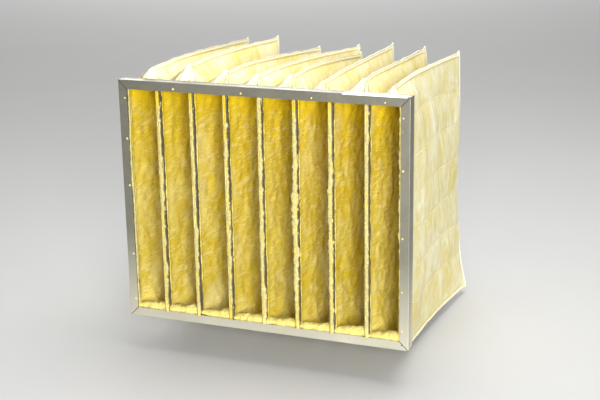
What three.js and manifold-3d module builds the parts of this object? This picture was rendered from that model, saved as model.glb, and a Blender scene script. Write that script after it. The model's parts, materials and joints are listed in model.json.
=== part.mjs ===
// Bag air filter: a folded steel header that holds eight sewn filter pockets side by side.
// Millimetres. +X runs across the face, +Y runs with the air, +Z is up.
// The origin is the middle of the header's bottom face, and the group below is shifted to it.
// Inside the group a depth is measured from the header's front face.
import * as THREE from "three";
import { mergeVertices } from "three/addons/utils/BufferGeometryUtils.js";
import Module from "manifold-3d";

const wasm = await Module();
wasm.setup();

// Header, a standard size of ventilation filter
const HEADER_WIDTH = 592;
const HEADER_HEIGHT = 490;
const HEADER_DEPTH = 25;
const FACE_FLANGE = 18;
const REAR_LIP = 10;
const RAIL_SHEET = 1;
const BEND_RADIUS = 1.6;
const RIB_DEPTH = 0.8;
const RIB_WIDTH = 3.6;
const RIB_FROM_FACE = 18.5;
const CLEARANCE = 0.3;

// Pierced holes in the face flange
const HOLE_DIAMETER = 3;
const HOLE_FROM_EDGE = 12.5;
const SIDE_HOLES = 5;
const SIDE_HOLE_FROM_END = 38;
const CORNER_HOLE_FROM_EDGE = 10.5;

// Pieces inside the rails
const KEY_SHEET = 1.2;
const KEY_LEG = 34;
const CHANNEL_SHEET = 0.8;
const SIDE_CHANNEL_EXTRA = 2.65;
const STRIP_SHEET = 1;
const STRIP_DEPTH = 12;
const STRIP_SETBACK = 2;

// Pockets
const POCKET_COUNT = 8;
const POCKET_DEPTH = 534;
const MOUTH_PLY = 3;
const WALL = 5;
const SEAM_ALLOWANCE = 7;
const SEAM_THICKNESS = 5;
const SHOULDER_RISE = 18;
const CROWN_RISE = 20;
const CROWN_DEPTH = 165;
const CORNER_FALL = 1.4;
const KEEL_ARCH = 5;
const REAR_BELLY = 18;
const BELLY_TAPER = 1.25;
const MOUTH_SQUARENESS = 12;
const REAR_SQUARENESS = 2.4;
const SQUARENESS_DEPTH = 200;
const SWING_BEND = 1.6;
const STITCH_ROWS = 6;
const STITCH_PINCH = 2.2;
const CAVITY_END = 34;

// How each pocket hangs, from left to right: where its seam starts behind the face, how far its
// upper and lower rear corners swing to the side, and how high its crown, tip and foot come to lie
const HANG = [
  { shoulder: 50, tipSwing: -6, footSwing: -20, lift: 8, tip: 8, foot: -58 },
  { shoulder: 88, tipSwing: 1, footSwing: -10, lift: 13, tip: 14, foot: -52 },
  { shoulder: 98, tipSwing: 34, footSwing: 5, lift: 1, tip: -5, foot: -71 },
  { shoulder: 84, tipSwing: 53, footSwing: 12, lift: 0, tip: 3, foot: -63 },
  { shoulder: 90, tipSwing: -11, footSwing: 4, lift: 1, tip: -14, foot: -78 },
  { shoulder: 72, tipSwing: -9, footSwing: 8, lift: -2, tip: 10, foot: -58 },
  { shoulder: 108, tipSwing: -2, footSwing: 14, lift: 0, tip: 5, foot: -62 },
  { shoulder: 62, tipSwing: 0, footSwing: 28, lift: -1, tip: -1, foot: -67 },
];

// Sizes that follow
const cavityInRail = RAIL_SHEET + RIB_DEPTH + CLEARANCE;
const channelStart = cavityInRail + KEY_SHEET + CLEARANCE;
const sideChannelEnd = REAR_LIP + SIDE_CHANNEL_EXTRA;
const innerFront = RAIL_SHEET + CLEARANCE;
const innerRear = HEADER_DEPTH - RAIL_SHEET - CLEARANCE;
const mouthBottom = REAR_LIP + CLEARANCE;
const mouthTop = HEADER_HEIGHT - mouthBottom;
const pocketPitch = (HEADER_WIDTH - 2 * sideChannelEnd - CLEARANCE) / POCKET_COUNT;
const mouthHalf = (pocketPitch - CLEARANCE) / 2;
const lipDepth = HEADER_DEPTH + CLEARANCE;

const steel = { color: 0xb4b0a4, roughness: 0.42, metalness: 0.85 };
const innerSteel = { color: 0x6f6c64, roughness: 0.5, metalness: 0.85 };
const media = { color: 0xf0e2a8, roughness: 1, metalness: 0 };

const filter = new THREE.Group();
filter.position.set(0, -HEADER_DEPTH / 2, 0);

function addPiece(name, geometry, finish, place = {}) {
  const mesh = new THREE.Mesh(geometry, new THREE.MeshStandardMaterial(finish));
  mesh.name = name;
  mesh.position.set(place.x ?? 0, place.y ?? 0, place.z ?? 0);
  mesh.rotation.y = place.turn ?? 0;
  filter.add(mesh);
}

// A closed geometry as a solid for a cut, and back
function solidOf(geometry) {
  const bare = geometry.clone();
  bare.deleteAttribute("normal");
  bare.deleteAttribute("uv");
  const merged = mergeVertices(bare);
  return new wasm.Manifold(new wasm.Mesh({
    numProp: 3,
    vertProperties: merged.attributes.position.array,
    triVerts: new Uint32Array(merged.index.array),
  }));
}

function geometryOf(solid) {
  const mesh = solid.getMesh();
  const geometry = new THREE.BufferGeometry();
  geometry.setAttribute("position", new THREE.BufferAttribute(mesh.vertProperties, 3));
  geometry.setIndex(new THREE.BufferAttribute(mesh.triVerts, 1));
  geometry.computeVertexNormals();
  return geometry;
}

// The rail's section: x is the depth from the face, y is the distance in from the outer edge
function railSection() {
  const section = new THREE.Shape();
  const inside = BEND_RADIUS - RAIL_SHEET;
  const quarter = Math.PI / 2;
  const rear = HEADER_DEPTH;
  section.moveTo(0, FACE_FLANGE);
  section.lineTo(0, BEND_RADIUS);
  section.absarc(BEND_RADIUS, BEND_RADIUS, BEND_RADIUS, 2 * quarter, 3 * quarter);
  ribEdge(section, 0, 1);
  section.absarc(rear - BEND_RADIUS, BEND_RADIUS, BEND_RADIUS, -quarter, 0);
  section.lineTo(rear, REAR_LIP);
  section.lineTo(rear - RAIL_SHEET, REAR_LIP);
  section.absarc(rear - BEND_RADIUS, BEND_RADIUS, inside, 0, -quarter, true);
  ribEdge(section, RAIL_SHEET, -1);
  section.absarc(BEND_RADIUS, BEND_RADIUS, inside, 3 * quarter, 2 * quarter, true);
  section.lineTo(RAIL_SHEET, FACE_FLANGE);
  section.closePath();
  return section;
}

// One side of the shallow rolled rib, drawn along the web towards the rear or back
function ribEdge(section, level, way) {
  const half = RIB_WIDTH / 2;
  const flat = half / 2;
  section.lineTo(RIB_FROM_FACE - way * half, level);
  section.lineTo(RIB_FROM_FACE - way * flat, level + RIB_DEPTH);
  section.lineTo(RIB_FROM_FACE + way * flat, level + RIB_DEPTH);
  section.lineTo(RIB_FROM_FACE + way * half, level);
}

// A rail along X, inwards is +Z, with both ends cut back at 45 degrees and its face holes pierced
function mitredRail(length, holes) {
  const mitreGap = CLEARANCE / Math.SQRT2;
  const profile = new THREE.ExtrudeGeometry(railSection(), {
    depth: 1,
    bevelEnabled: false,
    curveSegments: 3,
  });
  const points = profile.getAttribute("position");
  for (let i = 0; i < points.count; i += 1) {
    const depth = points.getX(i);
    const inwards = points.getY(i);
    const end = points.getZ(i) > 0.5 ? 1 : -1;
    points.setXYZ(i, end * (length / 2 - inwards - mitreGap), depth, inwards);
  }
  let rail = solidOf(profile);
  for (const hole of holes) {
    rail = rail.subtract(solidOf(pin(hole.along, hole.inwards)));
  }
  return geometryOf(rail);
}

// The pin that pierces the face flange
function pin(along, inwards) {
  const geometry = new THREE.CylinderGeometry(HOLE_DIAMETER / 2, HOLE_DIAMETER / 2, 4 * RAIL_SHEET, 10);
  geometry.translate(along, RAIL_SHEET / 2, inwards);
  return geometry;
}

function pocketCentre(index) {
  return (index - (POCKET_COUNT - 1) / 2) * pocketPitch;
}

// Every second pocket has a hole in the flange over or under it
function pocketHoles(first, mirror) {
  const holes = [];
  for (let i = first; i < POCKET_COUNT; i += 2) {
    holes.push({ along: mirror * pocketCentre(i), inwards: HOLE_FROM_EDGE });
  }
  return holes;
}

// The side holes are marked out by eye, so each drifts from its even place
function sideHoles(drifts) {
  const holes = [];
  const run = HEADER_HEIGHT - 2 * SIDE_HOLE_FROM_END;
  for (let i = 0; i < SIDE_HOLES; i += 1) {
    const even = (i / (SIDE_HOLES - 1) - 0.5) * run;
    holes.push({ along: even + drifts[i], inwards: HOLE_FROM_EDGE + 1 });
  }
  return holes;
}

function addRails() {
  const middle = HEADER_HEIGHT / 2;
  const side = HEADER_WIDTH / 2;
  const bottomHoles = pocketHoles(0, 1);
  bottomHoles.push({ along: side - CORNER_HOLE_FROM_EDGE - HOLE_DIAMETER, inwards: CORNER_HOLE_FROM_EDGE });
  const rightDrifts = [1, -24, -22, 4, -1];
  const leftDrifts = [-1, -8, 32, 24, 2].map((drift) => -drift).reverse();
  addPiece("header_rail_bottom", mitredRail(HEADER_WIDTH, bottomHoles), steel);
  addPiece("header_rail_top", mitredRail(HEADER_WIDTH, pocketHoles(1, -1)), steel, {
    z: HEADER_HEIGHT,
    turn: Math.PI,
  });
  addPiece("header_rail_left", mitredRail(HEADER_HEIGHT, sideHoles(leftDrifts)), steel, {
    x: -side,
    z: middle,
    turn: Math.PI / 2,
  });
  addPiece("header_rail_right", mitredRail(HEADER_HEIGHT, sideHoles(rightDrifts)), steel, {
    x: side,
    z: middle,
    turn: -Math.PI / 2,
  });
}

// A folded corner key that lies in the webs of two rails
function addCornerKeys() {
  const angle = new THREE.Shape();
  angle.moveTo(0, 0);
  angle.lineTo(KEY_LEG, 0);
  angle.lineTo(KEY_LEG, KEY_SHEET);
  angle.lineTo(KEY_SHEET, KEY_SHEET);
  angle.lineTo(KEY_SHEET, KEY_LEG);
  angle.lineTo(0, KEY_LEG);
  angle.closePath();
  const key = new THREE.ExtrudeGeometry(angle, { depth: innerRear - innerFront, bevelEnabled: false });
  key.rotateX(Math.PI / 2);
  key.translate(0, innerRear, 0);
  const x = HEADER_WIDTH / 2 - cavityInRail;
  const top = HEADER_HEIGHT - cavityInRail;
  const quarter = Math.PI / 2;
  addPiece("corner_key_bottom_left", key, innerSteel, { x: -x, z: cavityInRail });
  addPiece("corner_key_top_left", key, innerSteel, { x: -x, z: top, turn: quarter });
  addPiece("corner_key_top_right", key, innerSteel, { x, z: top, turn: 2 * quarter });
  addPiece("corner_key_bottom_right", key, innerSteel, { x, z: cavityInRail, turn: -quarter });
}

// A packing channel along X: its back bears on the mouths and its legs stand on the rail's web
function packingChannel(length, height) {
  const section = new THREE.Shape();
  section.moveTo(innerFront, 0);
  section.lineTo(innerFront + CHANNEL_SHEET, 0);
  section.lineTo(innerFront + CHANNEL_SHEET, height - CHANNEL_SHEET);
  section.lineTo(innerRear - CHANNEL_SHEET, height - CHANNEL_SHEET);
  section.lineTo(innerRear - CHANNEL_SHEET, 0);
  section.lineTo(innerRear, 0);
  section.lineTo(innerRear, height);
  section.lineTo(innerFront, height);
  section.closePath();
  const channel = new THREE.ExtrudeGeometry(section, { depth: length, bevelEnabled: false });
  channel.translate(0, 0, -length / 2);
  channel.applyMatrix4(new THREE.Matrix4().set(0, 0, 1, 0, 1, 0, 0, 0, 0, 1, 0, 0, 0, 0, 0, 1));
  return channel;
}

function addPackingChannels() {
  const quarter = Math.PI / 2;
  const across = packingChannel(HEADER_WIDTH - 2 * channelStart, REAR_LIP - channelStart);
  const upright = packingChannel(mouthTop - mouthBottom, sideChannelEnd - channelStart);
  const x = HEADER_WIDTH / 2 - channelStart;
  const z = HEADER_HEIGHT / 2;
  addPiece("packing_channel_bottom", across, innerSteel, { z: channelStart });
  addPiece("packing_channel_top", across, innerSteel, { z: HEADER_HEIGHT - channelStart, turn: 2 * quarter });
  addPiece("packing_channel_left", upright, innerSteel, { x: -x, z, turn: quarter });
  addPiece("packing_channel_right", upright, innerSteel, { x, z, turn: -quarter });
}

// Two steel strips inside each mouth press its side plies against the next pocket's
function addRetainerStrips() {
  const length = mouthTop - mouthBottom - 2 * (WALL + CLEARANCE);
  const strip = new THREE.BoxGeometry(STRIP_SHEET, STRIP_DEPTH, length);
  const offset = mouthHalf - MOUTH_PLY - CLEARANCE - STRIP_SHEET / 2;
  const y = STRIP_SETBACK + STRIP_DEPTH / 2;
  const z = HEADER_HEIGHT / 2;
  for (let i = 0; i < POCKET_COUNT; i += 1) {
    const x = pocketCentre(i);
    addPiece(`retainer_strip_${i + 1}_left`, strip, innerSteel, { x: x - offset, y, z });
    addPiece(`retainer_strip_${i + 1}_right`, strip, innerSteel, { x: x + offset, y, z });
  }
}

const mix = THREE.MathUtils.lerp;
const share = (value, from, to) => THREE.MathUtils.clamp((value - from) / (to - from), 0, 1);
const roundUp = (t) => Math.sin((t * Math.PI) / 2);

// The height of a pocket's upper edge at a depth: up from the mouth to the shoulder where the seam
// starts, on to the crown, then a slow way to the rear corner
function upperEdge(hang, crown, depth) {
  const shoulder = crown - CROWN_RISE + SHOULDER_RISE;
  if (depth <= hang.shoulder) {
    return mix(mouthTop, shoulder, roundUp(share(depth, lipDepth, hang.shoulder)));
  }
  if (depth <= CROWN_DEPTH) {
    return mix(shoulder, crown, roundUp(share(depth, hang.shoulder, CROWN_DEPTH)));
  }
  return mix(crown, mouthTop + hang.tip, share(depth, CROWN_DEPTH, POCKET_DEPTH) ** CORNER_FALL);
}

// The lower edge sinks from the mouth to the keel and arches a little on its way to the rear corner
function lowerEdge(hang, keel, depth) {
  if (depth <= CROWN_DEPTH) {
    return mix(mouthBottom, keel, roundUp(share(depth, lipDepth, CROWN_DEPTH)));
  }
  const along = share(depth, CROWN_DEPTH, POCKET_DEPTH);
  const arch = KEEL_ARCH * Math.sin(along * Math.PI);
  return mix(keel, mouthBottom + hang.foot, along ** CORNER_FALL) + arch;
}

// A pocket's cross-section at a depth, with every width and height that its skins are lofted through
function pocketSection(hang, depth) {
  const bodyEnd = POCKET_DEPTH - SEAM_ALLOWANCE;
  const crown = mouthTop + CROWN_RISE + hang.lift;
  const keel = crown - flatHeight();
  const closing = share(depth, lipDepth, hang.shoulder);
  const slimming = share(depth, lipDepth, bodyEnd);
  const seamHalf = SEAM_THICKNESS / 2;
  const tucking = share(depth, bodyEnd - REAR_BELLY, bodyEnd);
  const belly = mix(mouthHalf - slimming, REAR_BELLY / 2, slimming ** BELLY_TAPER);
  return {
    depth,
    top: upperEdge(hang, crown, depth),
    bottom: lowerEdge(hang, keel, depth),
    edgeHalf: mix(mouthHalf, seamHalf, closing),
    bellyHalf: mix(belly, seamHalf, tucking ** 2),
    squareness: mix(MOUTH_SQUARENESS, REAR_SQUARENESS, share(depth, lipDepth, SQUARENESS_DEPTH)),
    pinch: STITCH_PINCH * share(depth, lipDepth, CROWN_DEPTH) * (1 - tucking),
    swing: share(depth, lipDepth, POCKET_DEPTH) ** SWING_BEND,
  };
}

// The height of a pocket laid flat: half the way round its mouth, and a seam allowance at each edge
function flatHeight() {
  return 2 * mouthHalf + (mouthTop - mouthBottom) + 2 * SEAM_ALLOWANCE;
}

// How far the pocket's wall stands from its middle at a share of its height
function wallHalf(section, level) {
  const away = Math.abs(2 * level - 1) ** section.squareness;
  return mix(section.bellyHalf, section.edgeHalf, away);
}

// A pair of points, left and right of the pocket's middle, at one height of a section
function rung(hang, section, height, half) {
  const level = share(height, section.bottom, section.top);
  const middle = section.swing * mix(hang.footSwing, hang.tipSwing, level);
  return { left: [middle - half, section.depth, height], right: [middle + half, section.depth, height] };
}

// The outside: a flat seam allowance at the top and bottom, and a wall pinched at each stitch row
function outerLadder(hang, depth) {
  const section = pocketSection(hang, depth);
  const low = section.bottom + SEAM_ALLOWANCE;
  const high = section.top - SEAM_ALLOWANCE;
  const bands = 2 * (STITCH_ROWS + 1);
  const rungs = [rung(hang, section, section.bottom, section.edgeHalf)];
  for (let i = 0; i <= bands; i += 1) {
    const level = i / bands;
    const isRow = i % 2 === 0 && i > 0 && i < bands;
    const half = wallHalf(section, level) - (isRow ? section.pinch : 0);
    rungs.push(rung(hang, section, mix(low, high, level), half));
  }
  rungs.push(rung(hang, section, section.top, section.edgeHalf));
  return rungs;
}

// The inside: the same section, a wall's thickness in and without the pinches
function innerLadder(hang, depth) {
  const section = pocketSection(hang, depth);
  const past = share(depth, lipDepth, hang.shoulder);
  const edge = WALL + past * SEAM_ALLOWANCE;
  const side = mix(MOUTH_PLY, WALL, past);
  const levels = [0, 0.1, 0.3, 0.5, 0.7, 0.9, 1];
  return levels.map((level) => {
    const half = Math.max(wallHalf(section, level) - side, SEAM_THICKNESS / 4);
    return rung(hang, section, mix(section.bottom + edge, section.top - edge, level), half);
  });
}

// A closed skin through a row of ladders of equal rung counts
function loft(ladders) {
  const points = [];
  const faces = [];
  const rungCount = ladders[0].length;
  const left = (s, r) => 2 * (s * rungCount + r);
  const right = (s, r) => left(s, r) + 1;
  const quad = (a, b, c, d) => faces.push(a, b, c, a, c, d);
  for (const ladder of ladders) {
    for (const step of ladder) {
      points.push(...step.left, ...step.right);
    }
  }
  const last = ladders.length - 1;
  const head = rungCount - 1;
  for (let r = 0; r < head; r += 1) {
    quad(left(0, r), right(0, r), right(0, r + 1), left(0, r + 1));
    quad(right(last, r), left(last, r), left(last, r + 1), right(last, r + 1));
  }
  for (let s = 0; s < last; s += 1) {
    quad(right(s, 0), left(s, 0), left(s + 1, 0), right(s + 1, 0));
    quad(left(s, head), right(s, head), right(s + 1, head), left(s + 1, head));
    for (let r = 0; r < head; r += 1) {
      quad(left(s + 1, r), left(s, r), left(s, r + 1), left(s + 1, r + 1));
      quad(right(s, r), right(s + 1, r), right(s + 1, r + 1), right(s, r + 1));
    }
  }
  const geometry = new THREE.BufferGeometry();
  geometry.setAttribute("position", new THREE.Float32BufferAttribute(points, 3));
  geometry.setIndex(faces);
  return geometry;
}

// Depths of the lofted sections between two ends, evenly spaced
function spread(from, to, count) {
  return Array.from({ length: count }, (_, i) => mix(from, to, i / (count - 1)));
}

// A pocket is a sewn bag with an open mouth: its skin less the cavity that the air fills
function pocket(hang) {
  const bodyEnd = POCKET_DEPTH - SEAM_ALLOWANCE;
  const rising = [...spread(lipDepth, hang.shoulder, 3), mix(hang.shoulder, CROWN_DEPTH, 0.5)];
  const outerDepths = [innerFront, ...rising, ...spread(CROWN_DEPTH, bodyEnd - REAR_BELLY, 5), bodyEnd, POCKET_DEPTH];
  const innerDepths = [0, ...rising, ...spread(CROWN_DEPTH, POCKET_DEPTH - CAVITY_END, 5)];
  const skin = solidOf(loft(outerDepths.map((depth) => outerLadder(hang, depth))));
  const cavity = solidOf(loft(innerDepths.map((depth) => innerLadder(hang, depth))));
  return geometryOf(skin.subtract(cavity));
}

function addPockets() {
  HANG.forEach((hang, i) => {
    addPiece(`pocket_${i + 1}`, pocket(hang), media, { x: pocketCentre(i) });
  });
}

addRails();
addCornerKeys();
addPackingChannels();
addRetainerStrips();
addPockets();

export default filter;
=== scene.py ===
"""Dresses the bag air filter: its steel, its sewn fibre pockets, their stitches and raw edges."""
import itertools
import json
import math

import bpy
import numpy as np
from mathutils import Matrix, Vector

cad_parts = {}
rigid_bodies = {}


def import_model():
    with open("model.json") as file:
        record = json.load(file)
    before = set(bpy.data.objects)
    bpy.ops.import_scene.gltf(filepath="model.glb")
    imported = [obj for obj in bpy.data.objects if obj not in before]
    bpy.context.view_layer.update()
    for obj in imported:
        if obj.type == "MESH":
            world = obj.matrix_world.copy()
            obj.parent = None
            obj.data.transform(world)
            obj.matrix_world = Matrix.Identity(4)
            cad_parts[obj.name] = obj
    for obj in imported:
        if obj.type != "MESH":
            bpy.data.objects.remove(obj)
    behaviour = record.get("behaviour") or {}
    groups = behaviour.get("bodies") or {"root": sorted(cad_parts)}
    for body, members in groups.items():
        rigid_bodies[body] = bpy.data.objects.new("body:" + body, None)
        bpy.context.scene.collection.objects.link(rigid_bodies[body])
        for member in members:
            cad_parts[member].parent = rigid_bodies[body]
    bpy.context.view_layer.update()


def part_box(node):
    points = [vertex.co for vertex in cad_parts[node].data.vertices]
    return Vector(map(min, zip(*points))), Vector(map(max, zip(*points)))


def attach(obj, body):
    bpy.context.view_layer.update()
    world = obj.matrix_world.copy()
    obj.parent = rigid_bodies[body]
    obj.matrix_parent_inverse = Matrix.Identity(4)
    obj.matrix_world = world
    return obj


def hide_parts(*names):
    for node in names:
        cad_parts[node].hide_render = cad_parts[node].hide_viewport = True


bl_info = {
    "name": "Bag Air Filter",
    "version": (1, 0, 0),
    "blender": (4, 5, 0),
    "location": "3D View > Sidebar > Bag Filter",
    "description": "Builds the finished surfaces of a bag air filter around its packed frame",
    "category": "Object",
}

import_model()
BODY = "root"
POCKETS = 8
SEED = 7


# The header as packed
TOP_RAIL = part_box("header_rail_top")
BOTTOM_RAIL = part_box("header_rail_bottom")
LEFT_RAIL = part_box("header_rail_left")
RIGHT_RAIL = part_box("header_rail_right")
FACE_Y = BOTTOM_RAIL[0][1]
REAR_Y = BOTTOM_RAIL[1][1]
HEADER_TOP = TOP_RAIL[1][2]
FLANGE_BOTTOM = BOTTOM_RAIL[1][2]

# The mouths as packed: the pockets' pitch from two neighbours, and how wide and high a mouth is
MOUTH_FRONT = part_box("pocket_1")[0][1]
TIP_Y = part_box("pocket_1")[1][1]
STRIPS = [(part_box(f"retainer_strip_{k}_left"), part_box(f"retainer_strip_{k}_right"))
          for k in range(1, POCKETS + 1)]
CENTRES = [(left[0][0] + right[1][0]) / 2 for left, right in STRIPS]
PITCH = CENTRES[1] - CENTRES[0]
CLEARANCE = 0.0003
MOUTH_HALF = (PITCH - CLEARANCE) / 2
REAR_LIP = 0.010
MOUTH_BOTTOM = REAR_LIP + CLEARANCE
MOUTH_TOP = HEADER_TOP - MOUTH_BOTTOM

# The pierced holes in the flanges, as in the frame
HOLE_FROM_EDGE = 0.0125
SIDE_HOLE_FROM_EDGE = 0.0135
RIGHT_HOLES = (0.039, 0.1175, 0.223, 0.3525, 0.451)
LEFT_HOLES = (0.037, 0.1335, 0.277, 0.3725, 0.454)

# The sewn pocket, as in the frame
MOUTH_PLY = 0.003
WALL = 0.005
SEAM_ALLOWANCE = 0.007
SEAM_THICKNESS = 0.005
SHOULDER_SHORT = 0.002
CROWN_RISE = 0.020
CROWN_DEPTH = 0.165
CORNER_FALL = 1.4
KEEL_ARCH = 0.005
REAR_BELLY = 0.018
BELLY_TAPER = 1.25
SLIMMING = 0.001
MOUTH_SQUARENESS = 12
REAR_SQUARENESS = 2.4
SQUARENESS_DEPTH = 0.200
SWING_BEND = 1.6
STITCH_ROWS = 6
STITCH_DEPTH = 0.0022
STITCH_BOW = 0.012
ROW_START = 0.034
LIP_DEPTH = REAR_Y - FACE_Y + CLEARANCE
POCKET_DEPTH = TIP_Y - FACE_Y
BODY_END = POCKET_DEPTH - SEAM_ALLOWANCE
TUCK_START = BODY_END - REAR_BELLY
CAVITY_DEPTH = POCKET_DEPTH - 0.034
FLAT_HEIGHT = 2 * MOUTH_HALF + MOUTH_TOP - MOUTH_BOTTOM + 2 * SEAM_ALLOWANCE

# The soft form of the media, which the frame leaves out
WAVE_HEIGHT = 0.0045
WAVE_BEND = 1.2
PUFF_HEIGHT = 0.0015
CREASE_HEIGHT = 0.0007
PUCKER_HEIGHT = 0.0011
RUFFLE_HEIGHT = 0.0012
PILLOW_FLATNESS = 0.55
FREE_AFTER = 0.12
EAR = 0.0045
EAR_LENGTH = 0.016
EAVES_DROP = 0.006
FIN_RISE = (0.0, 0.45, 0.8)
FIN_HALF = (0.5, 0.7, 1.0)
LINING_RELIEF = 0.0022
FINE_RELIEF = 0.0012
LEAST_HALF = 0.0011

# The roof of a mouth, from its wall inwards: widths, their limits in metres and heights
ROOF_POINTS = 8
RIDGE_HEIGHT = 0.0042
FOLD_HEIGHT = 0.0018
RIDGE_HALF = 0.0016
TENT_WIDTH = (1.30, 0.70, 0.66, 0.58)
TENT_LIMIT = (math.inf, math.inf, RIDGE_HALF, 0.8 * RIDGE_HALF)
TENT_RISE = (0.35, 0.72, 0.97, 0.97)

# Where a stitch row's wall has its points, as shares of the way from one row to the next
COURSE_STEPS = (0, 0.02, 0.05, 0.11, 0.20, 0.32, 0.44, 0.56, 0.68, 0.80, 0.89, 0.95, 0.98)
ROW_SPACING = 0.076
CREASE_WIDTH = 0.0020
STITCH_INSET = 0.0045
ROW_POINTS = 60
ROW_FROM = 0.05
ROW_TO = 0.004
ROW_OUT = 0.0002
SEAM_POINTS = 70
SEAM_FROM = 0.004
SEAM_TO = 0.002
SEAM_OUT = 0.0001
REAR_SEAM = 0.0025

# The raw edges round the mouths. Places are measured back from the header's face
STRIP_END = 0.014
ROLL_BACK = 0.0034
BEHIND_FLANGE = 0.0056
EDGE_BULGE = (0.0006, 0.0004, 0.0004, 0.0010, 0.0030, 0.0018, 0.0003)
SIDE_LUMPS = 0.42
FOOT_LUMPS = 0.20
SIDE_SECTIONS = 190
SIDE_FROM = MOUTH_BOTTOM + 0.006
SIDE_TO = MOUTH_TOP - 0.004
SIDE_HALF = 0.0036
RIGHT_HALF = 0.0030
LEFT_HALF = 0.0019
SIDE_REACH = 0.0034
TOP_STRETCH = 0.060
LEFT_TOP_STRETCH = 0.11
TOP_FULL = 0.018
TOP_SHRINK = 0.85
TOP_SET_BACK = 0.0016
PAST_PLY = 0.0008
BEHIND_RIGHT = 0.0013
FOOT_SECTIONS = 60
FOOT_GAP = 0.0035
FOOT_RISE = 0.0016
FOOT_BACK = 0.0150
FOOT_REACH = 0.0110
FOOT_LOW = 0.0056
FOOT_HIGH = 0.0108
LIP_SECTIONS = 150
LIP_GAP = 0.001
LIP_HALF = 0.0011
LIP_BACK = 0.0012
LIP_REACH = 0.0036
TUFT_BACK = 0.0004

# Strands: half their width and how far they lift, as shares of their length
FUZZ_SHAPE = dict(Thickness=0.012, Lift=0.5)
LOOSE_SHAPE = dict(Thickness=0.0085, Lift=0.16)
STRAND_BENDS = (0.12, 0.32, -0.5)
PATCH_RINGS = 40
PATCH_RUNGS = 60

# Where the looks change: at the right end of the crowns brightened with painted light, and above
# the slanting line of the lining
CROWN_LIGHT_X = 0.222
SMOOTH_SLANT = 0.45
SMOOTH_FOLD = 0.455

# How finely a pocket's short stretches, and the label, are divided
MOUTH_SECTIONS = 4
TUCK_SECTIONS = 6
ALLOWANCE_SECTIONS = 3
LABEL_SECTIONS = 24

# The stage
LIGHT_TARGET = (0, 0.1, 0.25)
FLOOR_REACH = 30

# The materials of a sewn pocket, in the order of its slots
SKIN, LINING, SEAM = range(3)

# How each pocket hangs, left to right, in metres: its shoulder's depth, the swing of its upper and
# lower rear corners to the side, the lift of its crown, and its tip's and foot's height over the
# mouth's edge. The last one hangs straight for most of its height, and only its foot curls out
HANG_TERMS = ("shoulder", "tip_swing", "foot_swing", "lift", "tip", "foot", "foot_curl")
HANG = [dict(zip(HANG_TERMS, row)) for row in (
    (0.050, -0.006, -0.020, 0.008, 0.008, -0.058, 1),
    (0.088, 0.001, -0.010, 0.013, 0.014, -0.052, 1),
    (0.098, 0.034, 0.005, 0.001, -0.005, -0.071, 1),
    (0.084, 0.053, 0.012, 0.000, 0.003, -0.063, 1),
    (0.090, -0.011, 0.004, 0.001, -0.014, -0.078, 1),
    (0.072, -0.009, 0.008, -0.002, 0.010, -0.058, 1),
    (0.108, -0.002, 0.014, 0.000, 0.005, -0.062, 1),
    (0.062, 0.000, 0.028, -0.001, -0.001, -0.067, 5),
)]


# Smooth repeatable noise. Each use has its own offset from the seed

def lattice(cell, seed):
    """A repeatable number from -1 to 1 for each whole-number cell."""
    x, y, z = (cell[..., i].astype(np.int64) for i in range(3))
    h = (x * 73856093) ^ (y * 19349663) ^ (z * 83492791) ^ (seed * 2654435761)
    h = (h ^ (h >> 13)) * 1274126177
    h = (h ^ (h >> 16)) & 0xFFFFF
    return h / float(0x7FFFF) - 1.0


def noise(points, size, seed=SEED):
    """Smooth noise from -1 to 1, with features about as large as size (one or three lengths)."""
    place = np.asarray(points, float) / np.asarray(size, float)
    cell = np.floor(place)
    part = place - cell
    part = part * part * (3 - 2 * part)
    total = np.zeros(place.shape[:-1])
    for corner in itertools.product((0, 1), repeat=3):
        weight = 1
        for axis, far in enumerate(corner):
            weight = weight * (part[..., axis] if far else 1 - part[..., axis])
        total += weight * lattice(cell + np.array(corner), seed)
    return total


def layered(points, size, layers, seed=SEED):
    """Noise in octaves, each half the size and half the height of the last."""
    size = np.asarray(size, float)
    return sum(noise(points, size / 2**n, seed + n) / 2**n for n in range(layers))


def spread(x, y, z):
    """Points from three coordinates, any of which may be a single number."""
    return np.stack(np.broadcast_arrays(x, y, z), -1)


def share(value, start, end):
    """How far a value has come from start to end, from 0 to 1."""
    return np.clip((value - start) / (end - start), 0, 1)


def mix(a, b, t):
    """A value between a and b, at the share t of the way."""
    return a + (b - a) * t


# The shape of a hanging pocket

def round_up(t):
    """A share that rises steeply first and levels out, like a quarter of a circle."""
    return np.sin(t * math.pi / 2)


def upper_edge(hang, crown, depth):
    """Height of a pocket's upper edge at a depth from the header's face."""
    shoulder = hang["shoulder"]
    near = crown - SHOULDER_SHORT
    rise = mix(MOUTH_TOP, near, round_up(share(depth, LIP_DEPTH, shoulder)))
    level = mix(near, crown, round_up(share(depth, shoulder, CROWN_DEPTH)))
    along = share(depth, CROWN_DEPTH, POCKET_DEPTH)
    fall = mix(crown, MOUTH_TOP + hang["tip"], along**CORNER_FALL)
    return np.where(depth <= shoulder, rise, np.where(depth <= CROWN_DEPTH, level, fall))


def lower_edge(hang, keel, depth):
    """Height of a pocket's lower edge, which sinks to the keel and arches to the rear corner."""
    sink = mix(MOUTH_BOTTOM, keel, round_up(share(depth, LIP_DEPTH, CROWN_DEPTH)))
    along = share(depth, CROWN_DEPTH, POCKET_DEPTH)
    arch = KEEL_ARCH * np.sin(along * math.pi)
    arched = mix(keel, MOUTH_BOTTOM + hang["foot"], along**CORNER_FALL) + arch
    return np.where(depth <= CROWN_DEPTH, sink, arched)


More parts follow.
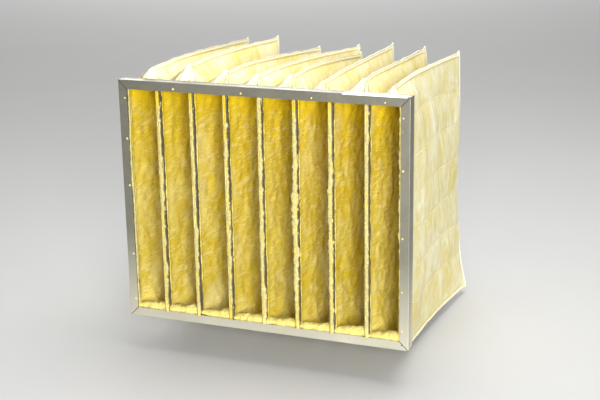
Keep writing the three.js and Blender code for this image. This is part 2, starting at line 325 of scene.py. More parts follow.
def pocket_section(hang, depth):
    """Every height and width of a pocket at a depth, as the frame's own pockets are lofted."""
    crown = MOUTH_TOP + CROWN_RISE + hang["lift"]
    slimming = share(depth, LIP_DEPTH, BODY_END)
    tucking = share(depth, TUCK_START, BODY_END)
    squaring = share(depth, LIP_DEPTH, SQUARENESS_DEPTH)
    belly = mix(MOUTH_HALF - SLIMMING * slimming, REAR_BELLY / 2, slimming**BELLY_TAPER)
    seam_half = SEAM_THICKNESS / 2
    return dict(
        depth=depth,
        top=upper_edge(hang, crown, depth),
        bottom=lower_edge(hang, crown - FLAT_HEIGHT, depth),
        edge_half=mix(MOUTH_HALF, seam_half, share(depth, LIP_DEPTH, hang["shoulder"])),
        belly_half=mix(belly, seam_half, tucking**2),
        squareness=mix(MOUTH_SQUARENESS, REAR_SQUARENESS, squaring),
        quilted=share(depth, LIP_DEPTH, CROWN_DEPTH) * (1 - tucking),
        swing=share(depth, LIP_DEPTH, POCKET_DEPTH) ** SWING_BEND,
    )


def wall_half(section, level):
    """Half a pocket's width at a level from 0 at its lower edge to 1 at its upper one."""
    away = np.abs(2 * level - 1) ** section["squareness"]
    return mix(section["belly_half"], section["edge_half"], away)


def swung(hang, section, height):
    """How far the pocket's middle has moved to the side at a height."""
    level = 1 - (1 - share(height, section["bottom"], section["top"])) ** hang["foot_curl"]
    return section["swing"] * mix(hang["foot_swing"], hang["tip_swing"], level)


def row_bow(depth):
    """How far the stitch rows lie above even sevenths at a depth, as a share of the height."""
    along = share(depth, LIP_DEPTH, BODY_END)
    return ROW_START * (1 - along) + STITCH_BOW * np.sin(along * math.pi)


def skin_point(pocket, depth, course, side):
    """A point on a pocket's outer wall. Course 0 to 1 runs from the lower seam to the upper one,
    and the stitch rows lie at its sevenths, which bow upwards half way down the pocket."""
    section = pocket_section(HANG[pocket], depth)
    phase = (STITCH_ROWS + 1) * course
    inner = np.clip(np.minimum(phase, STITCH_ROWS + 1 - phase), 0, 1)
    level = course + row_bow(depth) * inner
    height = mix(section["bottom"] + SEAM_ALLOWANCE, section["top"] - SEAM_ALLOWANCE, level)
    free = share(depth, LIP_DEPTH, LIP_DEPTH + FREE_AFTER)
    pillow = 1 - np.abs(np.sin(phase * math.pi)) ** PILLOW_FLATNESS
    half = wall_half(section, level) - STITCH_DEPTH * section["quilted"] * pillow
    place = spread(side * 0.4 + pocket, depth, height)
    flat = 1 - share(depth, TUCK_START, BODY_END)
    puff = (PUFF_HEIGHT * layered(place, 0.055, 3)
            + CREASE_HEIGHT * layered(place, (0.3, 0.012, 0.07), 2, SEED + 5))
    pucker = PUCKER_HEIGHT * noise(place, (0.3, 0.016, 0.05), SEED + 31)
    pucker = pucker * (1 - inner + inner * pillow)
    middle = np.sin(np.clip(course, 0, 1) * math.pi) ** 0.4
    return placed(pocket, section, height, side * (half + free * flat * middle * (puff + pucker)))


def placed(pocket, section, height, across):
    """Puts a point of a section in the row's frame, with the pocket's swing and slow waves."""
    depth = section["depth"]
    free = share(depth, LIP_DEPTH, POCKET_DEPTH) ** WAVE_BEND
    wave = WAVE_HEIGHT * free * layered(spread(3.0 * pocket, depth, height), 0.17, 2, SEED + 9)
    x = CENTRES[pocket] + across + swung(HANG[pocket], section, height) + wave
    return spread(x, FACE_Y + depth, height)


def closed_ring(right, left, over, under):
    """Joins a section into one loop: up the right side, over the top, down the left, back below."""
    return np.concatenate([right, over, left[:, ::-1], under], axis=1)


def bridged(first, second):
    """Points straight across between two columns of points."""
    steps = np.linspace(0, 1, ROOF_POINTS + 2)[1:-1]
    return mix(first[:, None, :], second[:, None, :], steps[None, :, None])


def roof(pocket, depths, section, height, corner, out):
    """The points over (out=1) or under (out=-1) a pocket between its two walls, right to left: a
    tent whose seam stands up as a ridge, until the walls have come together at the shoulder."""
    shoulder = HANG[pocket]["shoulder"]
    before = 1 - share(depths, shoulder - 0.012, shoulder)[:, None]
    after_lip = share(depths, LIP_DEPTH + 0.002, LIP_DEPTH + 0.016)[:, None]
    across = np.minimum(section["edge_half"] * 0.5 * np.array(TENT_WIDTH), TENT_LIMIT)
    stand = np.array([0, 0, 0, RIDGE_HEIGHT]) * before * after_lip
    ragged = 1 + 0.3 * noise(spread(depths, 0, pocket), 0.02, SEED + 41)[:, None]
    fold = FOLD_HEIGHT * noise(spread(depths, pocket, 0), 0.024, SEED + 43)[:, None]
    level = mix(corner, height, np.array(TENT_RISE))
    level = level + out * (stand * ragged + fold * before * after_lip)
    right = placed(pocket, section, level, across)
    left = placed(pocket, section, level, -across)
    return np.concatenate([right, left[:, ::-1]], axis=1)


def outer_rings(pocket, depths, courses):
    """The outside of a pocket, section by section, with its seam allowance above and below."""
    shoulder = HANG[pocket]["shoulder"]
    depth = depths[:, None]
    section = pocket_section(HANG[pocket], depth)
    fin = np.array(FIN_RISE)
    ruffle = RUFFLE_HEIGHT * noise(spread(pocket, depths, 0), 0.03, SEED + 3)[:, None]
    ear = EAR * share(depth, POCKET_DEPTH - EAR_LENGTH, POCKET_DEPTH) ** 2
    edge = share(depth, shoulder - 0.01, shoulder + 0.02) * ruffle + ear
    eaves = EAVES_DROP * np.sin(share(depth, LIP_DEPTH, shoulder) * math.pi)
    low = section["bottom"] + SEAM_ALLOWANCE * fin - (1 - fin) * (edge - eaves)
    high = section["top"] - SEAM_ALLOWANCE * fin + (1 - fin) * (edge - eaves)
    sides = []
    for side in (1, -1):
        half = side * section["edge_half"] * np.array(FIN_HALF)
        wall = skin_point(pocket, depth, courses[None, :], side)
        below = placed(pocket, section, low, half)
        above = placed(pocket, section, high, half)[:, ::-1]
        sides.append(np.concatenate([below, wall, above], axis=1))
    over = roof(pocket, depths, section, section["top"] + edge, high[:, :1], 1)
    under = roof(pocket, depths, section, section["bottom"] - edge, low[:, :1], -1)[:, ::-1]
    return closed_ring(*sides, over, under)


def inner_rings(pocket, depths, levels):
    """The inside of a pocket: a wall's thickness in, with the unevenness of loose fibre."""
    depth = depths[:, None]
    section = pocket_section(HANG[pocket], depth)
    past = share(depth, LIP_DEPTH, HANG[pocket]["shoulder"])
    edge = WALL + past * SEAM_ALLOWANCE
    ply = mix(MOUTH_PLY, WALL, past)
    height = mix(section["bottom"] + edge, section["top"] - edge, levels[None, :])
    skin_half = wall_half(section, levels[None, :])
    clear = share(depth, STRIP_END, STRIP_END + 0.03)
    narrow = share(skin_half, 0.006, 0.02)
    sides = []
    for side in (1, -1):
        place = spread(pocket + 0.5 * side, depth, height)
        fluff = (LINING_RELIEF * layered(place, 0.040, 3, SEED + 17)
                 + FINE_RELIEF * layered(place, 0.011, 2, SEED + 21))
        half = np.maximum(skin_half - ply - clear * narrow * (fluff + 0.001), LEAST_HALF)
        sides.append(placed(pocket, section, height, side * half))
    right, left = sides
    return closed_ring(right, left, bridged(right[:, -1], left[:, -1]),
                       bridged(left[:, 0], right[:, 0]))


def ring_faces(rings, count, start, inward):
    """Quads between neighbouring rings, facing out of the body or into its cavity."""
    here = np.arange(count)
    rows = start + np.arange(rings - 1)[:, None] * count
    a, b = rows + here, rows + (here + 1) % count
    quads = np.stack([a, b, b + count, a + count], -1).reshape(-1, 4)
    return quads[:, ::-1] if inward else quads


def ring_cap(first, rungs, flip):
    """Closes a ring by bridging its right side to its left side."""
    right = [first + r for r in range(rungs)]
    over = [first + rungs + s for s in range(ROOF_POINTS)]
    left = [first + 2 * rungs + ROOF_POINTS - 1 - r for r in range(rungs)]
    under = [first + 2 * rungs + ROOF_POINTS + s for s in range(ROOF_POINTS)]
    faces = [[right[r], right[r + 1], left[r + 1], left[r]] for r in range(1, rungs - 2)]
    faces.append([right[-2], right[-1], *over, left[-1], left[-2]])
    faces.append([left[1], left[0], *under, right[0], right[1]])
    return [face[::-1] for face in faces] if flip else faces


def new_object(name, points, faces=(), materials=(), kinds=None, edges=()):
    """A smooth mesh object with its place in its mesh. Kinds gives each face its material."""
    mesh = bpy.data.meshes.new(name)
    mesh.from_pydata([tuple(p) for p in points], edges, [tuple(f) for f in faces],
                     shade_flat=False)
    for material in materials:
        mesh.materials.append(material)
    if kinds is not None:
        mesh.polygons.foreach_set("material_index", np.asarray(kinds, np.int32))
    mesh.update()
    obj = bpy.data.objects.new(name, mesh)
    bpy.context.scene.collection.objects.link(obj)
    return obj


def joined(name, parts, material):
    """One object from several closed bodies, each a pair of points and faces."""
    points, faces = [], []
    for part_points, part_faces in parts:
        first = len(points)
        points.extend(part_points)
        faces.extend([first + i for i in face] for face in part_faces)
    return new_object(name, points, faces, [material])


def chain_object(name, chains):
    """A mesh of edge chains, for a tree to lay pieces along."""
    points, edges = [], []
    for chain in chains:
        first = len(points)
        points.extend(chain)
        edges.extend((first + i, first + i + 1) for i in range(len(chain) - 1))
    return new_object(name, points, edges=edges)


def dress(obj):
    """Makes a finished piece ride on the filter."""
    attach(obj, BODY)
    return obj


# Nodes

def fill(tree, node, **values):
    """Links sockets to a node's inputs, or sets its inputs and properties. An input is named with
    underscores for its spaces."""
    for key, value in values.items():
        socket = node.inputs.get(key.replace("_", " "))
        if socket is None:
            setattr(node, key, value)
        elif isinstance(value, bpy.types.NodeSocket):
            tree.links.new(value, socket)
        else:
            socket.default_value = value
    return node


def add(tree, kind, **values):
    """A new node with its inputs linked or set, and its properties set."""
    return fill(tree, tree.nodes.new(kind), **values)


def new_material(name, roughness, specular=0.5, metallic=0.0):
    """An empty material, its node tree and its shader."""
    material = bpy.data.materials.new(name)
    material.use_nodes = True
    tree = material.node_tree
    shader = fill(tree, tree.nodes["Principled BSDF"], Roughness=roughness,
                  Specular_IOR_Level=specular, Metallic=metallic)
    return material, tree, shader


def object_coordinates(tree, stretch=(1, 1, 1), slope=0):
    """Coordinates tilted first and stretched along the tilted axes, so that streaks can slope."""
    place = add(tree, "ShaderNodeTexCoord").outputs["Object"]
    return add(tree, "ShaderNodeMapping", vector_type="TEXTURE", Vector=place,
               Scale=tuple(1 / along for along in stretch),
               Rotation=(slope, 0, 0)).outputs["Vector"]


def axes(tree, vector):
    """The three coordinates of a vector, by name."""
    return add(tree, "ShaderNodeSeparateXYZ", Vector=vector).outputs


def cloud(tree, vector, scale, detail=4.0, roughness=0.55, distortion=0.0):
    """Soft noise from 0 to 1."""
    return add(tree, "ShaderNodeTexNoise", Vector=vector, Scale=scale, Detail=detail,
               Roughness=roughness, Distortion=distortion).outputs["Fac"]


def streaks(tree, stretch, slope, *grain):
    """Noise drawn out into sloping streaks."""
    return cloud(tree, object_coordinates(tree, stretch, slope), 1.0, *grain)


def ramp(tree, factor, *stops):
    """A colour ramp through (place, colour) stops."""
    node = add(tree, "ShaderNodeValToRGB", Fac=factor)
    while len(node.color_ramp.elements) < len(stops):
        node.color_ramp.elements.new(0.5)
    for element, (place, colour) in zip(node.color_ramp.elements, stops):
        element.position = place
        element.color = (*colour, 1)
    return node.outputs["Color"]


def mapped(tree, factor, low, high, to_low=0.0, to_high=1.0):
    """A value moved from one range to another, and kept inside it."""
    return add(tree, "ShaderNodeMapRange", Value=factor, From_Min=low, From_Max=high,
               To_Min=to_low, To_Max=to_high).outputs["Result"]


def calculated(tree, operation, *values):
    """One sum on sockets or numbers."""
    node = add(tree, "ShaderNodeMath", operation=operation)
    for socket, value in zip(node.inputs, values):
        if isinstance(value, bpy.types.NodeSocket):
            tree.links.new(value, socket)
        else:
            socket.default_value = value
    return node.outputs["Value"]


def blend_colours(tree, factor, first, second, kind="MIX"):
    """Two colours, each a socket or three numbers, blended by a factor."""
    first, second = (colour if isinstance(colour, bpy.types.NodeSocket) else (*colour, 1)
                     for colour in (first, second))
    return add(tree, "ShaderNodeMix", data_type="RGBA", blend_type=kind, Factor=factor,
               A=first, B=second).outputs["Result"]


def coated(tree, colour, *coats):
    """Lays coats over a colour, each given by the pattern that it follows, where it starts and is
    full, how much of it shows at most, and its colour."""
    for pattern, start, full, most, coat in coats:
        colour = blend_colours(tree, mapped(tree, pattern, start, full, 0.0, most), colour, coat)
    return colour


def bumpy(tree, shader, distance, *heights):
    """Adds up (height, strength) layers into the shader's normal."""
    below = {}
    for height, strength in heights:
        node = add(tree, "ShaderNodeBump", Strength=strength, Distance=distance, Height=height,
                   **below)
        below = {"Normal": node.outputs["Normal"]}
    fill(tree, shader, **below)


# Materials

def dimmed(colour, factor):
    """A colour with each of its parts multiplied."""
    return tuple(factor * part for part in colour)


def scrim_material(settings):
    """The pocket's outside: a thin pale scrim, with yellow fibre showing through in clouds and
    streaks. Painted light makes it brighter on the crowns just behind the header, all but the last
    pocket's."""
    material, tree, shader = new_material("media_scrim", 0.85, 0.2)
    flat = object_coordinates(tree)
    patches = cloud(tree, flat, 17, 7, 0.68, 1.0)
    flecks = cloud(tree, flat, 95, 4, 0.6, 1.4)
    upright = streaks(tree, (130, 70, 13), 0.25, 4, 0.62, 1.0)
    threads = streaks(tree, (420, 260, 60), -0.55, 3, 0.6, 1.4)
    sewn = add(tree, "ShaderNodeAttribute", attribute_name="stitched").outputs["Fac"]
    base = ramp(tree, patches, (0.36, settings.scrim_yellow), (0.50, settings.scrim_cream),
                (0.66, settings.scrim_white))
    creased = coated(
        tree, base,
        (upright, 0.50, 0.70, 0.75, settings.scrim_white),
        (threads, 0.54, 0.76, 0.55, settings.scrim_yellow),
        (flecks, 0.58, 0.76, 0.5, settings.scrim_white),
        # Along the stitch rows: a darker gold, partly fibre pressed through the scrim, partly
        # painted shade in the crease
        (sewn, 0.2, 1.0, 0.55, settings.scrim_crease_and_shade))
    place = axes(tree, flat)
    # Painted light: the crowns of all but the last pocket are brightened, standing in for light
    # that shines through the scrim
    sheltered = mapped(tree, place["X"], CROWN_LIGHT_X + 0.020, CROWN_LIGHT_X)
    high = mapped(tree, place["Z"], 0.70 * HEADER_TOP, 0.95 * HEADER_TOP)
    beyond_roof = mapped(tree, place["Y"], 0.045, 0.150)
    crown_light = calculated(tree, "MULTIPLY", sheltered, high)
    crown_light = calculated(tree, "MULTIPLY", crown_light, beyond_roof)
    colour = blend_colours(tree, crown_light, creased, settings.scrim_crown_light, "MULTIPLY")
    fill(tree, shader, Base_Color=colour)
    bumpy(tree, shader, 0.002, (patches, 0.35), (upright, 0.4), (threads, 0.3), (flecks, 0.3))
    return material


def fibre_material(settings):
    """The pocket's inside: loose saturated yellow fibre, paler where it stands up in tufts, and
    plain above a slanting line. Its upper part is richer, painted light shining through the roof."""
    material, tree, shader = new_material("media_fibre", 1.0, 0.05)
    flat = object_coordinates(tree)
    place = axes(tree, flat)
    tufts = cloud(tree, flat, 14, 5, 0.6, 1.6)
    patches = cloud(tree, flat, 9, 3, 0.5, 0.8)
    broad = cloud(tree, flat, 6, 2, 0.5, 0.5)
    swirls = streaks(tree, (30, 24, 90), 0.2, 4, 0.58, 2.2)
    strands = streaks(tree, (40, 13, 210), 0.13, 3, 0.55, 1.3)
    crossing = streaks(tree, (40, 13, 190), -0.16, 3, 0.55, 1.3)
    lower = ramp(tree, tufts, (0.30, settings.fibre_deep), (0.48, settings.fibre_yellow),
                 (0.68, settings.fibre_pale))
    # Painted light: the upper lining takes a richer, more saturated colour for light shining
    # through the roof, the lower lining a paler one
    upper = ramp(tree, tufts, (0.30, settings.fibre_deep), (0.58, settings.fibre_rich_lit),
                 (0.82, settings.fibre_yellow))
    base = coated(tree, upper, (place["Z"], 0.44, 0.20, 1.0, lower))
    strewn = coated(
        tree, base,
        (swirls, 0.52, 0.62, 0.6, settings.fibre_pale),
        (strands, 0.55, 0.62, 0.6, settings.fibre_tip),
        (crossing, 0.56, 0.64, 0.55, settings.fibre_tip))
    tufted = blend_colours(tree, mapped(tree, patches, 0.38, 0.56, 0.45, 1.0), base, strewn)
    slanting = calculated(tree, "MULTIPLY_ADD", place["Y"], SMOOTH_SLANT, place["Z"])
    fold = calculated(tree, "MULTIPLY_ADD", patches, 0.06, slanting)
    colour = coated(
        tree, tufted,
        (broad, 0.50, 0.66, 0.5, settings.fibre_tip),
        (fold, SMOOTH_FOLD + 0.01, SMOOTH_FOLD + 0.04, 0.9, base))
    fill(tree, shader, Base_Color=colour)
    bumpy(tree, shader, 0.0040, (tufts, 0.4), (swirls, 0.4), (strands, 0.3), (crossing, 0.3))
    return material


def plain_media_material(name, low, high, scale):
    """One colour with a soft mottle: for seam allowances, threads, tufts, fibres and paper."""
    material, tree, shader = new_material(name, 0.9)
    mottle = cloud(tree, object_coordinates(tree), scale, 5, 0.6, 0.8)
    fill(tree, shader, Base_Color=ramp(tree, mottle, (0.35, low), (0.65, high)))
    bumpy(tree, shader, 0.001, (mottle, 0.6))
    return material


def edge_material(settings):
    """The raw edges: cream up the sides of the mouths, more yellow where they lie at their feet."""
    material, tree, shader = new_material("media_edge", 0.95, 0.1)
    flat = object_coordinates(tree)
    mottle = cloud(tree, flat, 260, 5, 0.6, 0.8)
    clumps = cloud(tree, flat, 60, 3, 0.5, 0.6)
    side = ramp(tree, mottle, (0.35, settings.colour_low), (0.65, settings.colour_high))
    foot = ramp(tree, mottle, (0.32, settings.foot_low), (0.62, settings.foot_high))
    colour = coated(
        tree, side,
        (clumps, 0.50, 0.66, 0.55, settings.foot_low),
        (axes(tree, flat)["Z"], 0.040, 0.026, 1.0, foot))
    fill(tree, shader, Base_Color=colour)
    bumpy(tree, shader, 0.0014, (mottle, 0.6), (clumps, 0.5))
    return material


def mitre_distance(tree, place):
    """How far a point of a rail lies from the 45 degree joints at the header's corners."""
    aside = calculated(tree, "ABSOLUTE", place["X"])
    from_side = calculated(tree, "SUBTRACT", RIGHT_RAIL[1][0], aside)
    from_top = calculated(tree, "SUBTRACT", HEADER_TOP, place["Z"])
    from_end = calculated(tree, "MINIMUM", place["Z"], from_top)
    return calculated(tree, "ABSOLUTE", calculated(tree, "SUBTRACT", from_side, from_end))


def galvanised_material(name, colour, roughness, joints=False):
    """Zinc-coated sheet: a soft grain, faint crystal spangle and rubbed patches, and for the rails
    painted light that grows towards their foot, and dirt in their mitred joints."""
    material, tree, shader = new_material(name, roughness, metallic=0.75)
    flat = object_coordinates(tree)
    spangle = add(tree, "ShaderNodeTexVoronoi", feature="F1", Vector=flat, Scale=110,
                  Randomness=1.0)
    crystals = add(tree, "ShaderNodeSeparateColor", Color=spangle.outputs["Color"])
    grain = cloud(tree, flat, 900, 3, 0.6)
    dull = cloud(tree, flat, 9, 5, 0.6, 0.6)
    darker = dimmed(colour, 0.70)
    finish = coated(
        tree, colour,
        (crystals.outputs["Red"], 0.0, 1.0, 0.30, darker),
        (dull, 0.35, 0.75, 0.35, darker),
        (grain, 0.45, 0.7, 0.25, darker))
    # For the rails: painted light, lighter towards their foot, then real dirt darkening the mitred
    # joints
    if joints:
        place = axes(tree, flat)
        finish = coated(
            tree, finish,
            (place["Z"], 0.38 * HEADER_TOP, 0.0, 1.0, dimmed(colour, 2.4)),
            (mitre_distance(tree, place), 0.0016, 0.0006, 0.85, dimmed(colour, 0.16)))
    worn = mapped(tree, dull, 0.3, 0.7, roughness - 0.08, roughness + 0.10)
    fill(tree, shader, Base_Color=finish, Roughness=worn)
    bumpy(tree, shader, 0.0004, (grain, 0.12))
    return material


# Geometry node trees

def start_tree(name, **inputs):
    """A node tree with one geometry in and out and named inputs, and the outputs of its input."""
    tree = bpy.data.node_groups.new(name, "GeometryNodeTree")
    tree.interface.new_socket("Geometry", in_out="INPUT", socket_type="NodeSocketGeometry")
    for label, default in inputs.items():
        kind = "NodeSocketInt" if isinstance(default, int) else "NodeSocketFloat"
        socket = tree.interface.new_socket(label, in_out="INPUT", socket_type=kind)
        socket.default_value = default
    tree.interface.new_socket("Geometry", in_out="OUTPUT", socket_type="NodeSocketGeometry")
    return tree, tree.nodes.new("NodeGroupInput").outputs


def finish_tree(tree, laid, material):
    """Every tree ends by realizing its instances and setting its material."""
    realized = add(tree, "GeometryNodeRealizeInstances", Geometry=laid.outputs["Instances"])
    painted = add(tree, "GeometryNodeSetMaterial", Material=material,
                  Geometry=realized.outputs["Geometry"])
    add(tree, "NodeGroupOutput", Geometry=painted.outputs["Geometry"])
    return tree


def stitch_tree(material):
    """Lays a short thread at even steps along every edge chain of the mesh."""
    tree, given = start_tree("Stitches", Pitch=0.006, Length=0.004, Thickness=0.0005)
    lines = add(tree, "GeometryNodeMeshToCurve", Mesh=given["Geometry"])
    spaced = add(tree, "GeometryNodeResampleCurve", mode="LENGTH",
                 Curve=lines.outputs["Curve"], Length=given["Pitch"])
    thread = add(tree, "GeometryNodeMeshCylinder", Vertices=4, Radius=given["Thickness"],
                 Depth=given["Length"])
    tangent = add(tree, "GeometryNodeInputTangent")
    along = add(tree, "FunctionNodeAlignRotationToVector", axis="Z",
                Vector=tangent.outputs["Tangent"])
    laid = add(tree, "GeometryNodeInstanceOnPoints", Points=spaced.outputs["Curve"],
               Instance=thread.outputs["Mesh"], Rotation=along.outputs["Rotation"])
    return finish_tree(tree, laid, material)


def fibre_tree(material):
    """Scatters bent loose fibres over a surface, lying along it and lifting a little."""
    tree, given = start_tree("Loose Fibres", Density=3000.0, Shortest=0.02, Longest=0.05,
                             Thickness=0.007, Lift=0.12, Seed=SEED)
    points = add(tree, "GeometryNodeDistributePointsOnFaces", Mesh=given["Geometry"],
                 Density=given["Density"], Seed=given["Seed"])
    profile = add(tree, "GeometryNodeCurvePrimitiveCircle", Resolution=3,
                  Radius=given["Thickness"])
    shapes = add(tree, "GeometryNodeJoinGeometry")
    for bend in STRAND_BENDS:
        middle = add(tree, "ShaderNodeCombineXYZ", X=0.0, Y=bend, Z=given["Lift"])
        arc = add(tree, "GeometryNodeCurveQuadraticBezier", Resolution=5, Start=(-0.5, 0, 0),
                  Middle=middle.outputs["Vector"], End=(0.5, 0.1 * bend, 0))
        strand = add(tree, "GeometryNodeCurveToMesh", Curve=arc.outputs["Curve"],
                     Profile_Curve=profile.outputs["Curve"], Fill_Caps=True)
        kept = add(tree, "GeometryNodeGeometryToInstance", Geometry=strand.outputs["Mesh"])
        fill(tree, shapes, Geometry=kept.outputs["Instances"])
    spin = add(tree, "FunctionNodeRandomValue", data_type="FLOAT", Max=2 * math.pi,
               Seed=given["Seed"])
    turned = add(tree, "ShaderNodeCombineXYZ", Z=spin.outputs["Value"])
    about = add(tree, "FunctionNodeRotateRotation", rotation_space="LOCAL",
                Rotation=points.outputs["Rotation"], Rotate_By=turned.outputs["Vector"])
    size = add(tree, "FunctionNodeRandomValue", data_type="FLOAT", Min=given["Shortest"],
               Max=given["Longest"], Seed=given["Seed"])
    laid = add(tree, "GeometryNodeInstanceOnPoints", Points=points.outputs["Points"],
               Instance=shapes.outputs["Geometry"], Pick_Instance=True,
               Rotation=about.outputs["Rotation"], Scale=size.outputs["Value"])
    return finish_tree(tree, laid, material)


def tuft_tree(material):
    """Puts a small lumpy tuft at each point, each turned and sized a little differently."""
    tree, given = start_tree("Tufts", Radius=0.0015, Lumps=0.0004, Seed=SEED)
    ball = add(tree, "GeometryNodeMeshUVSphere", Segments=14, Rings=9, Radius=given["Radius"])
    lumpy = add(tree, "ShaderNodeTexNoise", Scale=900.0, Detail=2.0)
    centred = add(tree, "ShaderNodeVectorMath", operation="SUBTRACT",
                  Vector=lumpy.outputs["Color"])
    centred.inputs[1].default_value = (0.5, 0.5, 0.5)
    scaled = add(tree, "ShaderNodeVectorMath", operation="SCALE",
                 Vector=centred.outputs["Vector"], Scale=given["Lumps"])
    shaped = add(tree, "GeometryNodeSetPosition", Geometry=ball.outputs["Mesh"],
                 Offset=scaled.outputs["Vector"])
    spin = add(tree, "FunctionNodeRandomValue", data_type="FLOAT_VECTOR",
               Max=(6.28, 6.28, 6.28), Seed=given["Seed"])
    size = add(tree, "FunctionNodeRandomValue", data_type="FLOAT", Min=0.8, Max=1.15,
               Seed=given["Seed"])
    laid = add(tree, "GeometryNodeInstanceOnPoints", Points=given["Geometry"],
               Instance=shaped.outputs["Geometry"], Rotation=spin.outputs["Value"],
               Scale=size.outputs["Value"])
    return finish_tree(tree, laid, material)


def grown(obj, tree, **values):
    """Runs a node tree on an object with the values named, and keeps the result as its mesh."""
    modifier = obj.modifiers.new(tree.name, "NODES")
    modifier.node_group = tree
    for item in tree.interface.items_tree:
        if item.in_out == "INPUT" and item.name in values:
            modifier[item.identifier] = values[item.name]
    graph = bpy.context.evaluated_depsgraph_get()
    mesh = bpy.data.meshes.new_from_object(obj.evaluated_get(graph))
    obj.modifiers.clear()
    obj.data = mesh
    obj.data.name = obj.name
    return obj


# Pieces

def sewn_faces(hang, depths, rungs, count):
    """Which of a skin's faces are seam: its fins behind the shoulder, the ridge along its roof and
    its rear edge."""
    place = np.tile(np.arange(count), len(depths) - 1)
    in_ridge = (place >= rungs + 2) & (place <= rungs + 4)
    in_fin = (place < 2) | ((place >= rungs - 3) & (place < rungs + ROOF_POINTS + 2))
    in_fin |= place >= 2 * rungs + ROOF_POINTS - 3
    behind = np.repeat(depths[:-1] > hang["shoulder"], count)
    at_rear = np.repeat(depths[:-1] >= BODY_END - 0.001, count)
    return (behind & in_fin) | in_ridge | at_rear


def crease_share(courses):
    """How much of a stitch row's crease each point round a section has, from 0 to 1. The points of
    the fins and the roof have none."""
    fin = np.full(len(FIN_RISE), np.nan)
    top = np.full(len(FIN_RISE) + ROOF_POINTS, np.nan)
    ring = np.concatenate([fin, courses, top, fin, courses[::-1], top])
    rows = ring * (STITCH_ROWS + 1)
    from_row = np.nan_to_num(np.abs((rows + 0.5) % 1 - 0.5) * ROW_SPACING)
    none = np.isnan(ring) | (rows < 0.5) | (rows > STITCH_ROWS + 0.5)
    near = np.where(none, 0, np.exp(-((from_row / CREASE_WIDTH) ** 2)))
    return np.where(np.minimum(ring, 1 - ring) < 0.004, 1, near)


def pocket_mesh(pocket, materials, settings):
    """One sewn pocket: outside, inside, and the raw front edge between them."""
    hang = HANG[pocket]
    courses = (np.arange(STITCH_ROWS + 1)[:, None] + np.array(COURSE_STEPS)).ravel()
    courses = np.append(courses / (STITCH_ROWS + 1), 1.0)
    mouth = np.linspace(MOUTH_FRONT - FACE_Y, LIP_DEPTH, MOUTH_SECTIONS)[:-1]
    to_crown = np.linspace(LIP_DEPTH, CROWN_DEPTH, settings.crown_sections)[:-1]
    to_tuck = np.linspace(CROWN_DEPTH, TUCK_START, settings.rear_sections)[:-1]
    tuck = np.linspace(TUCK_START, BODY_END, TUCK_SECTIONS)[:-1]
    allowance = np.linspace(BODY_END, POCKET_DEPTH, ALLOWANCE_SECTIONS)
    cavity = np.linspace(CROWN_DEPTH, CAVITY_DEPTH, settings.rear_sections // 2)
    depths = np.concatenate([mouth, to_crown, to_tuck, tuck, allowance])
    rungs = len(courses) + 2 * len(FIN_RISE)
    outer = outer_rings(pocket, depths, courses)
    inner = inner_rings(pocket, np.concatenate([mouth, to_crown, cavity]),
                        np.linspace(0, 1, rungs))
    rings, count = outer.shape[:2]
    inside = rings * count
    here = np.arange(count)
    after = (here + 1) % count
    skin = ring_faces(rings, count, 0, False)
    lining = ring_faces(len(inner), count, inside, True)
    rim = np.stack([here, inside + here, inside + after, after], -1)[:, ::-1]
    caps = ring_cap(inside - count, rungs, True)
    ends = ring_cap(inside + (len(inner) - 1) * count, rungs, False)
    kinds = np.concatenate([
        np.where(sewn_faces(hang, depths, rungs, count), SEAM, SKIN),
        np.full(len(lining) + len(rim), LINING),
        np.full(len(caps), SEAM), np.full(len(ends), LINING)])
    points = np.concatenate([outer.reshape(-1, 3), inner.reshape(-1, 3)])
    faces = [*skin.tolist(), *lining.tolist(), *rim.tolist(), *caps, *ends]
    obj = new_object(f"sewn_pocket_{pocket + 1}", points, faces, materials, kinds)
    # The crease share darkens the scrim along the rows and where the walls meet the fins: partly
    # pressed fibre, partly painted shade
    stitched = np.zeros(len(points), np.float32)
    quilted = pocket_section(hang, depths)["quilted"]
    stitched[:inside] = (quilted[:, None] * crease_share(courses)).ravel()
    obj.data.attributes.new("stitched", "FLOAT", "POINT").data.foreach_set("value", stitched)
    return obj


def lining_patch(pocket, reach):
    """The lining near a mouth, as a surface for fibres to lie on, up to the slanting line."""
    inner = inner_rings(pocket, np.linspace(STRIP_END, reach, PATCH_RINGS),
                        np.linspace(0, 1, PATCH_RUNGS))
    points = inner.reshape(-1, 3)
    faces = ring_faces(*inner.shape[:2], 0, True)
    middles = points[faces].mean(axis=1)
    ragged = 0.02 * noise(middles, 0.06, SEED + pocket)
    fold = middles[:, 2] + SMOOTH_SLANT * middles[:, 1] + ragged
    return new_object(f"loose_fibres_{pocket + 1}", points, faces[fold < SMOOTH_FOLD].tolist())


def stitch_lines(pocket):
    """Chains of points for the stitch rows on both walls and the seams round the pocket's three
    sewn edges."""
    hang = HANG[pocket]
    depths = np.linspace(LIP_DEPTH + ROW_FROM, BODY_END - ROW_TO, ROW_POINTS)
    chains = []
    for side, row in itertools.product((1, -1), range(1, STITCH_ROWS + 1)):
        chain = skin_point(pocket, depths, row / (STITCH_ROWS + 1), side)
        chain[:, 0] += side * ROW_OUT
        chains.append(chain)
    seam = pocket_section(hang, np.linspace(hang["shoulder"] + SEAM_FROM, BODY_END + SEAM_TO,
                                            SEAM_POINTS))
    rear = pocket_section(hang, np.full(SEAM_POINTS, BODY_END + REAR_SEAM))
    rear_height = mix(rear["bottom"] + STITCH_INSET, rear["top"] - STITCH_INSET,
                      np.linspace(0, 1, SEAM_POINTS))
    for side in (1, -1):
        for section, height in ((seam, seam["top"] - STITCH_INSET),
                                (seam, seam["bottom"] + STITCH_INSET), (rear, rear_height)):
            across = side * (section["edge_half"] + SEAM_OUT)
            chains.append(placed(pocket, section, height, across))
    return chains


